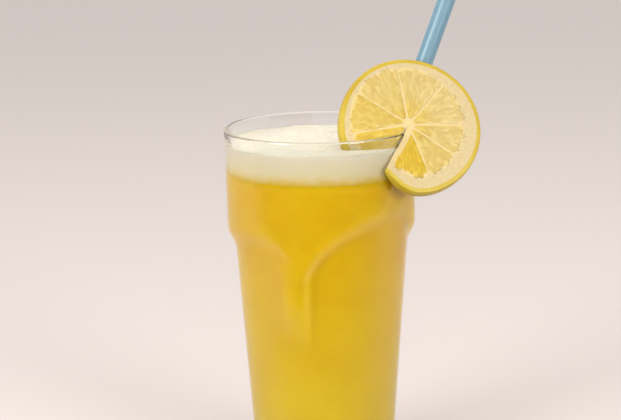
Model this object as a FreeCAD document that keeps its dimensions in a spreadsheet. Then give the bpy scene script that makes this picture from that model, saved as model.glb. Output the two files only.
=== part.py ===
import FreeCAD, Part
import Sketcher
import math
import os

# A daiquiri in a pressed tumbler, with a foam head, a lemon slice on the rim and a straw.
# Millimetres, +Z up, origin at the centre of the glass's base. The front is at -Y.

doc = FreeCAD.newDocument("daiquiri")

# Driving dimensions, one row each: alias, value and what it is.
DRIVING_SIZES = [
    ("glass_height", 150, "base to rim"),
    ("rim_radius", 40, "outside of the beaded rim"),
    ("rim_bead", 0.3, "how far the bead stands out"),
    ("rim_bead_height", 2.4, "height of the bead"),
    ("rim_outer_round", 0.95, "rounding of the rim outside"),
    ("rim_inner_round", 0.75, "rounding of the rim inside"),
    ("base_radius", 28.4, "outside of the body at the base"),
    ("base_round", 2.5, "rounding round the base"),
    ("body_taper", 0.072, "outward lean of the lower body"),
    ("band_taper", 0.016, "outward lean of the upper band"),
    ("shoulder_rise", 8.4, "height of the step between band and body"),
    ("ridge_end_height", 64, "where the ridge under a deep notch has faded"),
    ("ridge_left_width", 11, "gentle left half of that ridge"),
    ("ridge_right_width", 3, "steeper right half of that ridge"),
    ("floor_height", 13, "thickness of the heavy base"),
    ("floor_radius", 25.6, "inside of the glass at the floor"),
    ("floor_round", 9, "rounding between floor and inner wall"),
    ("inner_taper", 0.0912, "outward lean of the smooth inner wall"),
    ("foam_base_height", 132.4, "where drink turns to foam"),
    ("foam_top_height", 143.8, "top of the foam"),
    ("foam_edge_rise", 0.5, "how far the foam climbs the wall"),
    ("foam_edge_width", 2.2, "width of that climbing edge"),
    ("foam_edge_lip", 0.3, "flat lip of foam at the wall"),
    ("slice_radius", 29.2, "lemon slice"),
    ("slice_thickness", 6, "lemon slice"),
    ("slice_edge_bulge", 0.9, "how far the rind bulges out"),
    ("slice_core_across", -0.8, "core beside the middle of the slice"),
    ("slice_core_lift", 0.8, "core above the middle of the slice"),
    ("slice_core_radius", 1.9, "white core"),
    ("slice_lean", 28.5, "how far the top of the slice leans back"),
    ("slice_turn", 13, "how far the slice is turned round the glass"),
    ("slice_place_across", 35.7, "middle of the slice"),
    ("slice_place_deep", -16.4, "middle of the slice"),
    ("slice_place_high", 151.2, "middle of the slice"),
    ("slit_angle", 234, "direction of the slit from the core"),
    ("slit_half_angle", 2.5, "half opening of the slit"),
    ("flap_bend", 2.6, "how far each flap bends out of the slice at the slit"),
    ("flap_bend_angle", 32, "how fast that bend dies away round the slice"),
    ("flap_trim", 0.2, "how much shorter the outer flap is at the slit"),
    ("flap_trim_angle", 22, "how fast that trim dies away round the slice"),
    ("straw_radius", 3.6, "outside of the straw"),
    ("straw_bore_radius", 3.25, "inside of the straw"),
    ("straw_total", 210, "length of the straw"),
    ("straw_lean", 20.7, "lean of the straw"),
    ("straw_turn", 12.2, "which way the straw leans, from +X"),
    ("straw_foot_across", -16.05, "foot of the straw"),
    ("straw_foot_deep", -7.4, "foot of the straw"),
    ("straw_foot_high", 14.4, "foot of the straw"),
    ("clearance", 0.12, "gap between the slice and the glass wall"),
]

# The relief is a line of four arches. Angles are degrees round from the front, towards +X.
# The arches meet in notches. A ridge of 1 makes a sharp notch with a ridge under it, and a
# ridge of 0 makes a gentle dip.
NOTCH_FIELDS = ["angle", "height", "ridge"]
NOTCHES = [
    [-14, 85, 1],
    [100, 107.3, 0],
    [180, 85, 1],
    [262, 108, 0],
]

# Each arch spans from the notch of the same number to the next one. Towards a sharp notch, a
# squareness of 2 is an ellipse, and more is a flatter crown.
ARCH_FIELDS = ["angle", "height", "squareness"]
ARCHES = [
    [60, 122.2, 2.2],
    [140, 115, 2.2],
    [222, 115, 2.2],
    [311, 113, 2.4],
]

# Low mounds on the foam.
MOUND_FIELDS = ["across", "deep", "half_width", "half_depth", "rise"]
MOUNDS = [
    [-4, 19, 13, 9, 0.9],
    [-17, -6, 11, 12, 0.6],
    [5, -14, 12, 8, 0.5],
]

# How finely the curved skins are described.
STATIONS_ROUND = 120
LEVEL_STEP = 3
SLICE_STATIONS = 30

NODES = ["glass", "drink", "foam", "lemon_slice", "straw"]


def sheet_rows():
    """All rows of the sheet: the driving sizes, then each notch, arch and mound."""
    rows = list(DRIVING_SIZES)
    groups = [
        ("notch", NOTCH_FIELDS, NOTCHES),
        ("arch", ARCH_FIELDS, ARCHES),
        ("mound", MOUND_FIELDS, MOUNDS),
    ]
    for group, fields, table in groups:
        for number, values in enumerate(table):
            for field, value in zip(fields, values):
                rows.append((f"{group}_{number}_{field}", value, f"{group} {number}"))
    return rows


sheet = doc.addObject("Spreadsheet::Sheet", "sizes")
for row, (alias, value, note) in enumerate(sheet_rows(), start=1):
    sheet.set(f"A{row}", note)
    sheet.set(f"B{row}", str(value))
    sheet.setAlias(f"B{row}", alias)
doc.recompute()


def size(alias):
    """The value of one driving dimension."""
    return float(sheet.get(alias))


def add(kind, name, **bindings):
    """Adds a document object and binds its properties to expressions on the sheet."""
    item = doc.addObject(kind, name)
    for prop, expression in bindings.items():
        item.setExpression(prop, expression)
    return item


def add_shape(name, shape):
    """Adds a shape made in code as a document object."""
    item = doc.addObject("Part::Feature", name)
    item.Shape = shape
    return item


def add_cut(name, base, tool):
    """Adds base minus tool."""
    item = doc.addObject("Part::Cut", name)
    item.Base = base
    item.Tool = tool
    return item


def smooth_share(share):
    """Eases a share from 0 to 1."""
    share = min(max(share, 0), 1)
    return share * share * (3 - 2 * share)


# ---------------------------------------------------------------- glass, outside


def notch_sizes(number):
    """The sizes of one notch. The one after the last is the first again."""
    return [size(f"notch_{number % len(NOTCHES)}_{field}") for field in NOTCH_FIELDS]


def arch_sizes(number):
    """The sizes of one arch."""
    return [size(f"arch_{number}_{field}") for field in ARCH_FIELDS]


def flank_height(share, notch_height, ridge, crown_height, squareness):
    """Height of the arched line at a share of the way from a notch to a crown."""
    if ridge:
        rise = (1 - (1 - share) ** squareness) ** (1 / squareness)
    else:
        rise = smooth_share(share)
    return notch_height + (crown_height - notch_height) * rise


def arch_height(turn):
    """Height of the arched line at an angle round the glass, in degrees from the front."""
    heights = []
    for number in range(len(ARCHES)):
        crown, crown_height, squareness = arch_sizes(number)
        left, left_height, left_ridge = notch_sizes(number)
        right, right_height, right_ridge = notch_sizes(number + 1)
        from_left = (turn - left) % 360 / ((crown - left) % 360)
        from_right = (right - turn) % 360 / ((right - crown) % 360)
        if from_left <= 1:
            height = flank_height(from_left, left_height, left_ridge, crown_height, squareness)
            heights.append(height)
        if from_right <= 1:
            height = flank_height(from_right, right_height, right_ridge, crown_height, squareness)
            heights.append(height)
    return max(heights)


def ridge_share(turn, height):
    """How much of the band's fullness the ridges under the notches still have."""
    share = 0
    for number in range(len(NOTCHES)):
        notch, notch_height, ridge = notch_sizes(number)
        across = math.radians((turn - notch + 180) % 360 - 180) * size("rim_radius")
        half_width = size("ridge_left_width") if across < 0 else size("ridge_right_width")
        fade = (height - size("ridge_end_height")) / (notch_height - size("ridge_end_height"))
        beside = math.exp(-((across / half_width) ** 2))
        share = max(share, ridge * beside * smooth_share(fade))
    return share


def outer_radius(turn, height):
    """Outer radius of the glass: a full band above the arches, a slimmer body in them."""
    body = size("base_radius") + size("body_taper") * height
    band = size("rim_radius") - size("rim_bead")
    band -= size("band_taper") * (size("glass_height") - height)
    bead_start = size("glass_height") - size("rim_bead_height")
    band += size("rim_bead") * smooth_share((height - bead_start) / size("rim_bead_height"))
    above = (height - arch_height(turn)) / size("shoulder_rise") + 1
    full = max(smooth_share(above), ridge_share(turn, height))
    return body + (band - body) * full


def ring_at(height):
    """Points round the glass at one height."""
    points = []
    for station in range(STATIONS_ROUND):
        turn = 360 * station / STATIONS_ROUND
        radius = outer_radius(turn, height)
        angle = math.radians(turn - 90)
        points.append(FreeCAD.Vector(radius * math.cos(angle), radius * math.sin(angle), height))
    return points


def glass_levels():
    """Heights of the outlines: close together over the relief and at the bead."""
    relief_start = size("ridge_end_height") - LEVEL_STEP
    crown_heights = [arch_sizes(number)[1] for number in range(len(ARCHES))]
    relief_end = max(crown_heights) + 2 * LEVEL_STEP
    bead_start = size("glass_height") - size("rim_bead_height")
    levels = [relief_start * share for share in (0, 1 / 3, 2 / 3)]
    steps = math.ceil((relief_end - relief_start) / LEVEL_STEP)
    step_height = (relief_end - relief_start) / steps
    levels += [relief_start + step_height * step for step in range(steps + 1)]
    levels += [(relief_end + bead_start) / 2, bead_start]
    levels += [(bead_start + size("glass_height")) / 2, size("glass_height")]
    return levels


def closed_skin(rings):
    """Solid inside a smooth skin that follows closed rings of points, with flat ends."""
    degree = 3
    columns = [list(column) for column in zip(*rings)]
    round_knots = list(range(len(columns) + 1))
    rising_knots = list(range(len(rings) - degree + 1))
    rising_counts = [1] * len(rising_knots)
    rising_counts[0] = rising_counts[-1] = degree + 1
    skin = Part.BSplineSurface()
    round_counts = [1] * len(round_knots)
    skin.buildFromPolesMultsKnots(
        columns, round_counts, rising_counts, round_knots, rising_knots, True, False, degree, degree
    )
    side = skin.toShape()
    ends = [edge for edge in side.Edges if edge.BoundBox.ZLength < LEVEL_STEP / 100]
    caps = [Part.Face(Part.Wire(edge)) for edge in ends]
    shell = Part.Shell([side] + caps)
    shell.sewShape()
    return Part.Solid(shell)


outer_form = add_shape("outer_form", closed_skin([ring_at(level) for level in glass_levels()]))

# ---------------------------------------------------------------- glass, inside

INNER_RADIUS = "(sizes.floor_radius + sizes.inner_taper * ({height} - sizes.floor_height))"


def inner_cone(name, bottom, top):
    """A cone that fills the glass's smooth inside between two heights."""
    cone = add(
        "Part::Cone",
        name,
        Radius1=INNER_RADIUS.format(height=bottom),
        Radius2=INNER_RADIUS.format(height=top),
        Height=f"{top} - {bottom}",
    )
    cone.setExpression("Placement.Base.z", bottom)
    return cone


def edge_at(item, height):
    """Number of the round edge of an object that lies at one height."""
    for number, edge in enumerate(item.Shape.Edges, start=1):
        box = edge.BoundBox
        if box.ZLength < 0.01 and abs(box.ZMin - height) < 0.01:
            return number
    raise RuntimeError(f"{item.Name} has no edge at {height}")


def add_rounding(name, base, roundings):
    """Rounds edges of base: roundings holds pairs of an edge's number and a radius."""
    item = doc.addObject("Part::Fillet", name)
    item.Base = base
    item.Edges = [(number, radius, radius) for number, radius in roundings]
    return item


cavity_cone = inner_cone("cavity_cone", "sizes.floor_height", "sizes.glass_height")
drink_cone = inner_cone("drink_cone", "sizes.floor_height", "sizes.foam_base_height")
foam_top = "sizes.foam_top_height"
foam_crest = f"({foam_top} + sizes.foam_edge_rise)"
foam_cone = inner_cone("foam_cone", "sizes.foam_base_height", foam_crest)
doc.recompute()


def round_floor(name, cone):
    """The cone with its lower edge rounded, as the inside of the glass is at its floor."""
    return add_rounding(name, cone, [(edge_at(cone, size("floor_height")), size("floor_round"))])


cavity = round_floor("cavity", cavity_cone)
drink_form = round_floor("drink_form", drink_cone)
glass_sharp = add_cut("glass_sharp", outer_form, cavity)
doc.recompute()


def rim_edges(item):
    """Numbers of the rim's inner and outer edge, and of the edge round the base."""
    found = {}
    for number, edge in enumerate(item.Shape.Edges, start=1):
        box = edge.BoundBox
        if box.ZLength > 0.01:
            continue
        if abs(box.ZMin) < 0.01:
            found["base"] = number
        elif abs(box.ZMin - size("glass_height")) < 0.01:
            inside = box.XMax < size("rim_radius") - 1
            found["inner" if inside else "outer"] = number
    return found


edges = rim_edges(glass_sharp)
glass = add_rounding(
    "glass",
    glass_sharp,
    [
        (edges["inner"], size("rim_inner_round")),
        (edges["outer"], size("rim_outer_round")),
        (edges["base"], size("base_round")),
    ],
)

# ---------------------------------------------------------------- straw


def straw_placement():
    """Foot of the straw on the glass's floor, leaning towards +X."""
    foot = FreeCAD.Vector(size("straw_foot_across"), size("straw_foot_deep"), size("straw_foot_high"))
    turn = FreeCAD.Rotation(FreeCAD.Vector(0, 0, 1), size("straw_turn"))
    lean = FreeCAD.Rotation(FreeCAD.Vector(0, 1, 0), size("straw_lean"))
    return FreeCAD.Placement(foot, turn.multiply(lean))


def origin_plane(body, role):
    """One of a body's own origin planes."""
    for feature in body.Origin.OriginFeatures:
        if feature.Role == role:
            return feature
    raise RuntimeError(f"{body.Name} has no {role}")


def add_circle(sketch, alias):
    """A circle round the sketch's origin, whose radius is a cell of the sheet."""
    circle = Part.Circle(FreeCAD.Vector(0, 0, 0), FreeCAD.Vector(0, 0, 1), size(alias))
    number = sketch.addGeometry(circle)
    centre_point = 3
    sketch_origin = -1
    sketch.addConstraint(Sketcher.Constraint("Coincident", number, centre_point, sketch_origin, 1))
    radius = sketch.addConstraint(Sketcher.Constraint("Radius", number, size(alias)))
    sketch.setExpression(f"Constraints[{radius}]", f"sizes.{alias}")


straw = doc.addObject("PartDesign::Body", "straw")
straw_section = straw.newObject("Sketcher::SketchObject", "straw_section")
straw_section.AttachmentSupport = (origin_plane(straw, "XY_Plane"), [""])
straw_section.MapMode = "FlatFace"
add_circle(straw_section, "straw_radius")
add_circle(straw_section, "straw_bore_radius")
straw_tube = straw.newObject("PartDesign::Pad", "straw_tube")
straw_tube.Profile = straw_section
straw_tube.setExpression("Length", "sizes.straw_total")
straw.Placement = straw_placement()

straw_room = add("Part::Cylinder", "straw_room", Radius="sizes.straw_radius", Height="sizes.straw_total")
straw_room.Placement = straw_placement()

# ---------------------------------------------------------------- lemon slice


def slice_edge_distance(angle, trim):
    """Distance from the core to the edge of the slice, a slightly uneven circle cut short."""
    across, lift = size("slice_core_across"), size("slice_core_lift")
    uneven = 0.010 * math.sin(2 * angle + 0.6) + 0.006 * math.sin(3 * angle + 2)
    radius = size("slice_radius") * (1 + uneven)
    along = across * math.cos(angle) + lift * math.sin(angle)
    return (math.sqrt(radius**2 - across**2 - lift**2 + along**2) - along) * (1 - trim)


def slice_section(angle, bend, trim):
    """Section of the slice along one direction from the core, closed by the bulging rind."""
    half = size("slice_thickness") / 2
    reach = slice_edge_distance(angle, trim)
    inner = size("slice_core_radius") / 2
    shoulder = reach - size("slice_edge_bulge")

    def place(distance, high):
        across = size("slice_core_across") + distance * math.cos(angle)
        up = size("slice_core_lift") + distance * math.sin(angle)
        return FreeCAD.Vector(across, up, high + bend * distance / size("slice_radius"))

    back_inner = place(inner, -half)
    back_outer = place(shoulder, -half)
    front_outer = place(shoulder, half)
    front_inner = place(inner, half)
    back = Part.LineSegment(back_inner, back_outer).toShape()
    rind = Part.Arc(back_outer, place(reach, 0), front_outer).toShape()
    front = Part.LineSegment(front_outer, front_inner).toShape()
    centre = Part.LineSegment(front_inner, back_inner).toShape()
    return Part.Wire([back, rind, front, centre])


def slice_sections():
    """Sections all the way round, from the outer flap at the slit to the inner flap."""
    start = size("slit_angle") + size("slit_half_angle")
    sweep = 360 - 2 * size("slit_half_angle")
    sections = []
    for station in range(SLICE_STATIONS + 1):
        gone = sweep * station / SLICE_STATIONS
        outward = math.exp(-gone / size("flap_bend_angle"))
        inward = math.exp(-(sweep - gone) / size("flap_bend_angle"))
        bend = size("flap_bend") * (outward - inward)
        trim = size("flap_trim") * math.exp(-((gone / size("flap_trim_angle")) ** 2))
        sections.append(slice_section(math.radians(start + gone), bend, trim))
    return sections


def slice_placement():
    """The slice faces the front, leans back and is turned a little round the glass."""
    place = FreeCAD.Vector(
        size("slice_place_across"), size("slice_place_deep"), size("slice_place_high")
    )
    turn = FreeCAD.Rotation(FreeCAD.Vector(0, 0, 1), size("slice_turn"))
    upright = FreeCAD.Rotation(FreeCAD.Vector(1, 0, 0), 90 - size("slice_lean"))
    return FreeCAD.Placement(place, turn.multiply(upright))


def slice_shape():
    """The bent ring of flesh and rind, with its core."""
    ring = Part.makeLoft(slice_sections(), True)
    half = size("slice_thickness") / 2
    foot = FreeCAD.Vector(size("slice_core_across"), size("slice_core_lift"), -half)
    core = Part.makeCylinder(size("slice_core_radius"), size("slice_thickness"), foot)
    return ring.fuse(core)


slice_form = add_shape("slice_form", slice_shape())
slice_form.Placement = slice_placement()


def wall_cone(name, limit):
    """A cone beside one face of the glass's wall, from under the slice to just over the rim."""
    bottom = "(sizes.foam_base_height - sizes.slice_radius / 2)"
    cone = add(
        "Part::Cone",
        name,
        Radius1=limit.format(height=bottom),
        Radius2=limit.format(height="sizes.glass_height"),
        Height=f"sizes.glass_height + sizes.clearance - {bottom}",
    )
    cone.setExpression("Placement.Base.z", bottom)
    return cone


outer_limit = "sizes.rim_radius - sizes.band_taper * (sizes.glass_height - {height}) + sizes.clearance"
wall_outside = wall_cone("wall_outside", outer_limit)
inner_limit = INNER_RADIUS + " - sizes.clearance"
wall_inside = wall_cone("wall_inside", inner_limit)
wall_room = add_cut("wall_room", wall_outside, wall_inside)
lemon_slice = add_cut("lemon_slice", slice_form, wall_room)

# ---------------------------------------------------------------- drink and foam

drink_round_straw = add_cut("drink_round_straw", drink_form, straw_room)
drink = add_cut("drink", drink_round_straw, slice_form)

foam_dish = add(
    "Part::Cone",
    "foam_dish",
    Radius1=INNER_RADIUS.format(height=foam_top) + " - sizes.foam_edge_width",
    Radius2=INNER_RADIUS.format(height=foam_crest) + " - sizes.foam_edge_lip",
    Height="sizes.foam_edge_rise",
)
foam_dish.setExpression("Placement.Base.z", foam_top)
foam_level = add_cut("foam_level", foam_cone, foam_dish)

# Each mound is the cap of a low ellipsoid, sunk so that it meets the foam at a slant.
SUNK_SHARE = 2 / 3
CAP_SHARE = math.sqrt(1 - SUNK_SHARE**2)


def foam_mound(number):
    """One low mound on the foam."""
    key = f"sizes.mound_{number}"
    high = f"{key}_rise / {1 - SUNK_SHARE}"
    mound = add(
        "Part::Ellipsoid",
        f"mound_{number}",
        Radius1=high,
        Radius2=f"{key}_half_width / {CAP_SHARE}",
        Radius3=f"{key}_half_depth / {CAP_SHARE}",
    )
    mound.setExpression("Placement.Base.x", f"{key}_across")
    mound.setExpression("Placement.Base.y", f"{key}_deep")
    mound.setExpression("Placement.Base.z", f"{foam_top} - {high} * {SUNK_SHARE}")
    return mound


foam_form = doc.addObject("Part::MultiFuse", "foam_form")
foam_form.Shapes = [foam_level] + [foam_mound(number) for number in range(len(MOUNDS))]
foam_round_straw = add_cut("foam_round_straw", foam_form, straw_room)
foam = add_cut("foam", foam_round_straw, slice_form)

# ---------------------------------------------------------------- checks and files

doc.recompute()
for item in doc.Objects:
    if "Invalid" in item.State or "Error" in item.State:
        raise RuntimeError(f"{item.Name} failed to recompute")

os.makedirs("parts", exist_ok=True)
for node in NODES:
    item = doc.getObject(node)
    item.Label = node
    shape = item.Shape
    if shape.isNull() or not shape.isValid() or len(shape.Solids) != 1:
        raise RuntimeError(f"{node} is not one valid solid")
    shape.exportStep(f"parts/{item.Label}.step")
    print(f"{node}: {shape.Volume / 1000:.1f} cubic centimetres, {len(shape.Faces)} faces")
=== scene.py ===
import math
from functools import partial
import bpy
import bmesh
from mathutils import Matrix, Vector, noise


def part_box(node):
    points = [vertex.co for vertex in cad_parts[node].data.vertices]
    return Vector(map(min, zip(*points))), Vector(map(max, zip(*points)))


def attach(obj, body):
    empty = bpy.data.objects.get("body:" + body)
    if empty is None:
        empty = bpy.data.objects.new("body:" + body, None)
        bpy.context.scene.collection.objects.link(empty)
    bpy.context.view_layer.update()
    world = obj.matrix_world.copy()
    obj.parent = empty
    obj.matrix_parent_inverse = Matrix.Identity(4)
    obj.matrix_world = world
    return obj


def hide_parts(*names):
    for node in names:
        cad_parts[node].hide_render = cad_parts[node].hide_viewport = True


# A daiquiri in a pressed tumbler: glass, drink, foam head, lemon slice and straw.
# Metres, +Z up, the glass stands on the origin and the front is at -Y.

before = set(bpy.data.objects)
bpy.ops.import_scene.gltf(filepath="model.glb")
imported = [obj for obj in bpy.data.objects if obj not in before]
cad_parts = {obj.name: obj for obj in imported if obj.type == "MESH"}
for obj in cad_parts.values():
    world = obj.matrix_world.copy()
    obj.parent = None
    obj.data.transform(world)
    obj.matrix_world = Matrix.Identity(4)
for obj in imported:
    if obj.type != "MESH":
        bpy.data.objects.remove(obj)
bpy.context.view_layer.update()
mm = 0.001


def toLinear(hexColour):
    shares = [int(hexColour[start:start + 2], 16) / 255 for start in (1, 3, 5)]
    linear = [s / 12.92 if s <= 0.04045 else ((s + 0.055) / 1.055) ** 2.4 for s in shares]
    return (*linear, 1)


def fillSockets(node, sockets):
    # links or sets a node's inputs by name or in order; a node given as a value means its first output
    for socket, value in sockets.items() if isinstance(sockets, dict) else enumerate(sockets):
        target = node.inputs[socket]
        if isinstance(value, bpy.types.Node):
            value = value.outputs[0]
        if isinstance(value, bpy.types.NodeSocket):
            node.id_data.links.new(value, target)
        else:
            target.default_value = value


def addNode(tree, kind, sockets=(), stops=(), **settings):
    # adds a node with its settings, its links and, on a colour ramp, its stops: position and hex colour
    node = tree.nodes.new(kind)
    for name, value in settings.items():
        setattr(node, name, value)
    if stops:
        marks = node.color_ramp.elements
        while len(marks) < len(stops):
            marks.new(0.5)
        for mark, (position, colour) in zip(marks, stops):
            mark.position = position
            mark.color = toLinear(colour)
    fillSockets(node, sockets)
    return node


def startMaterial(name):
    # returns the material, the function that adds nodes to it, and an empty Principled shader
    material = bpy.data.materials.new(name)
    material.use_nodes = True
    material.node_tree.nodes.clear()
    add = partial(addNode, material.node_tree)
    shader = add("ShaderNodeBsdfPrincipled")
    add("ShaderNodeOutputMaterial", {"Surface": shader})
    return material, add, shader


def addObject(name, data):
    piece = bpy.data.objects.new(name, data)
    bpy.context.scene.collection.objects.link(piece)
    return piece


def makePiece(name, points, faces, materials, faceMaterials=None):
    # a mesh object from points and faces, with the number of each face's material
    mesh = bpy.data.meshes.new(name)
    mesh.from_pydata(points, [], faces)
    for material in materials:
        mesh.materials.append(material)
    if faceMaterials:
        mesh.polygons.foreach_set("material_index", faceMaterials)
    return addObject(name, mesh)


def closeUp(piece):
    # merges doubled points, turns the faces outwards and shades them smooth
    work = bmesh.new()
    work.from_mesh(piece.data)
    bmesh.ops.remove_doubles(work, verts=work.verts, dist=1e-6)
    bmesh.ops.recalc_face_normals(work, faces=work.faces)
    for face in work.faces:
        face.smooth = True
    work.to_mesh(piece.data)
    work.free()
    return piece


def storePoints(piece, name, values, kind="FLOAT"):
    field = "vector" if kind == "FLOAT_VECTOR" else "value"
    flat = [n for value in values for n in value] if kind == "FLOAT_VECTOR" else values
    piece.data.attributes.new(name, kind, "POINT").data.foreach_set(field, flat)


def setInputs(modifier, values):
    for item in modifier.node_group.interface.items_tree:
        if item.item_type == "SOCKET" and item.in_out == "INPUT" and item.name in values:
            modifier[item.identifier] = values[item.name]


def growFrom(source, tree, values):
    # runs a Geometry Nodes tree on an object and leaves the result as its plain mesh
    modifier = source.modifiers.new(tree.name, "NODES")
    modifier.node_group = tree
    setInputs(modifier, values)
    graph = bpy.context.evaluated_depsgraph_get()
    grown = bpy.data.meshes.new_from_object(
        source.evaluated_get(graph), preserve_all_data_layers=True, depsgraph=graph
    )
    source.modifiers.clear()
    source.data = grown
    return source


def startTree(name, inputs, outputs):
    # a Geometry Nodes tree with named inputs and outputs, the function that adds nodes to it, and
    # the sockets that give its inputs
    tree = bpy.data.node_groups.new(name, "GeometryNodeTree")
    for direction, sockets in (("INPUT", inputs), ("OUTPUT", outputs)):
        for label, kind in sockets.items():
            tree.interface.new_socket(label, in_out=direction, socket_type="NodeSocket" + kind)
    add = partial(addNode, tree)
    return tree, add, add("NodeGroupInput").outputs


def smooth(share):
    share = min(max(share, 0), 1)
    return share * share * (3 - 2 * share)


def settle(piece, node):
    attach(piece, "root")
    if node:
        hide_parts(node)
    print(f"{piece.name}: {len(piece.data.polygons)} faces")


# sizes and profiles that the glass shares with what fills it
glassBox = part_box("glass")
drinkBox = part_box("drink")

glassPlan = {
    "height": glassBox[1].z,
    "rimRadius": glassBox[1].x,
    "rimBead": 0.3 * mm,
    "rimBeadHeight": 2.4 * mm,
    "rimOuterRound": 0.95 * mm,
    "rimInnerRound": 0.75 * mm,
    "baseRadius": 28.4 * mm,
    "baseRound": 2.5 * mm,
    "bodyTaper": 0.072,
    "bandTaper": 0.016,
    "shoulderRise": 8.4 * mm,
    "ridgeStartHeight": 85 * mm,
    "ridgeEndHeight": 64 * mm,
    "ridgeLeftWidth": 11 * mm,
    "ridgeRightWidth": 3 * mm,
    "floorHeight": drinkBox[0].z,
    "floorRadius": 25.6 * mm,
    "floorRound": 9 * mm,
    "innerTaper": 0.0912,
    "levelStep": 1.5 * mm,
    "innerLevelStep": 6 * mm,
    "roundingSteps": 8,
    "floorSteps": 14,
    "stepsRound": 240,
    # notches of the relief: degrees from the front towards +X, height, and 1 for a sharp notch with
    # a ridge under it or 0 for a gentle dip
    "notches": [(-14, 85 * mm, 1), (100, 107.3 * mm, 0), (180, 85 * mm, 1), (262, 108 * mm, 0)],
    # the arch after each notch: crown's degrees and height, and squareness, where 2 is an ellipse
    "arches": [(60, 122.2 * mm, 2.2), (140, 115 * mm, 2.2), (222, 115 * mm, 2.2), (311, 113 * mm, 2.4)],
}


def cornerArc(before, corner, after, radius, steps):
    # points that round a corner between two straight stretches of a profile
    before, corner, after = Vector(before), Vector(corner), Vector(after)
    along = (corner - before).normalized()
    onward = (after - corner).normalized()
    turn = along.x * onward.y - along.y * onward.x
    angle = math.atan2(turn, along.dot(onward))
    reach = radius * math.tan(abs(angle) / 2)
    start = corner - along * reach
    side = math.copysign(1, angle)
    centre = start + Vector((-along.y, along.x)) * radius * side
    spoke = start - centre
    points = []
    for step in range(steps + 1):
        swing = angle * step / steps
        points.append((
            centre.x + spoke.x * math.cos(swing) - spoke.y * math.sin(swing),
            centre.y + spoke.x * math.sin(swing) + spoke.y * math.cos(swing),
        ))
    return points


def innerRadius(height):
    return glassPlan["floorRadius"] + glassPlan["innerTaper"] * (height - glassPlan["floorHeight"])


def straightRun(start, end, step):
    count = max(1, round((Vector(end) - Vector(start)).length / step))
    return [
        (start[0] + (end[0] - start[0]) * n / count, start[1] + (end[1] - start[1]) * n / count)
        for n in range(1, count)
    ]


def glassProfile():
    # half section of the glass from under the base, up the outside, over the rim and down the
    # inside to the floor, and for each point whether the relief moves it
    plan = glassPlan
    height = plan["height"]
    topOfBody = plan["baseRadius"] + plan["bodyTaper"] * height
    baseEdge = (plan["baseRadius"], 0)
    rimOutside = (topOfBody, height)
    rimInside = (innerRadius(height) - (plan["rimRadius"] - topOfBody), height)
    floorEdge = (plan["floorRadius"], plan["floorHeight"])
    innerTop = (innerRadius(height), height)
    steps = plan["roundingSteps"]
    base = cornerArc((0, 0), baseEdge, rimOutside, plan["baseRound"], steps)
    outerRim = cornerArc(baseEdge, rimOutside, rimInside, plan["rimOuterRound"], steps)
    innerRim = cornerArc(rimOutside, innerTop, floorEdge, plan["rimInnerRound"], steps)
    middle = (0, plan["floorHeight"])
    floor = cornerArc(innerTop, floorEdge, middle, plan["floorRound"], plan["floorSteps"])
    outside = [(0, 0), (plan["baseRadius"] * 0.5, 0)] + base
    outside += straightRun(base[-1], outerRim[0], plan["levelStep"]) + outerRim
    inside = innerRim + straightRun(innerRim[-1], floor[0], plan["innerLevelStep"])
    inside += floor + [(plan["floorRadius"] * 0.3, plan["floorHeight"]), middle]
    return outside + inside, [1.0] * len(outside) + [0.0] * len(inside)


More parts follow.
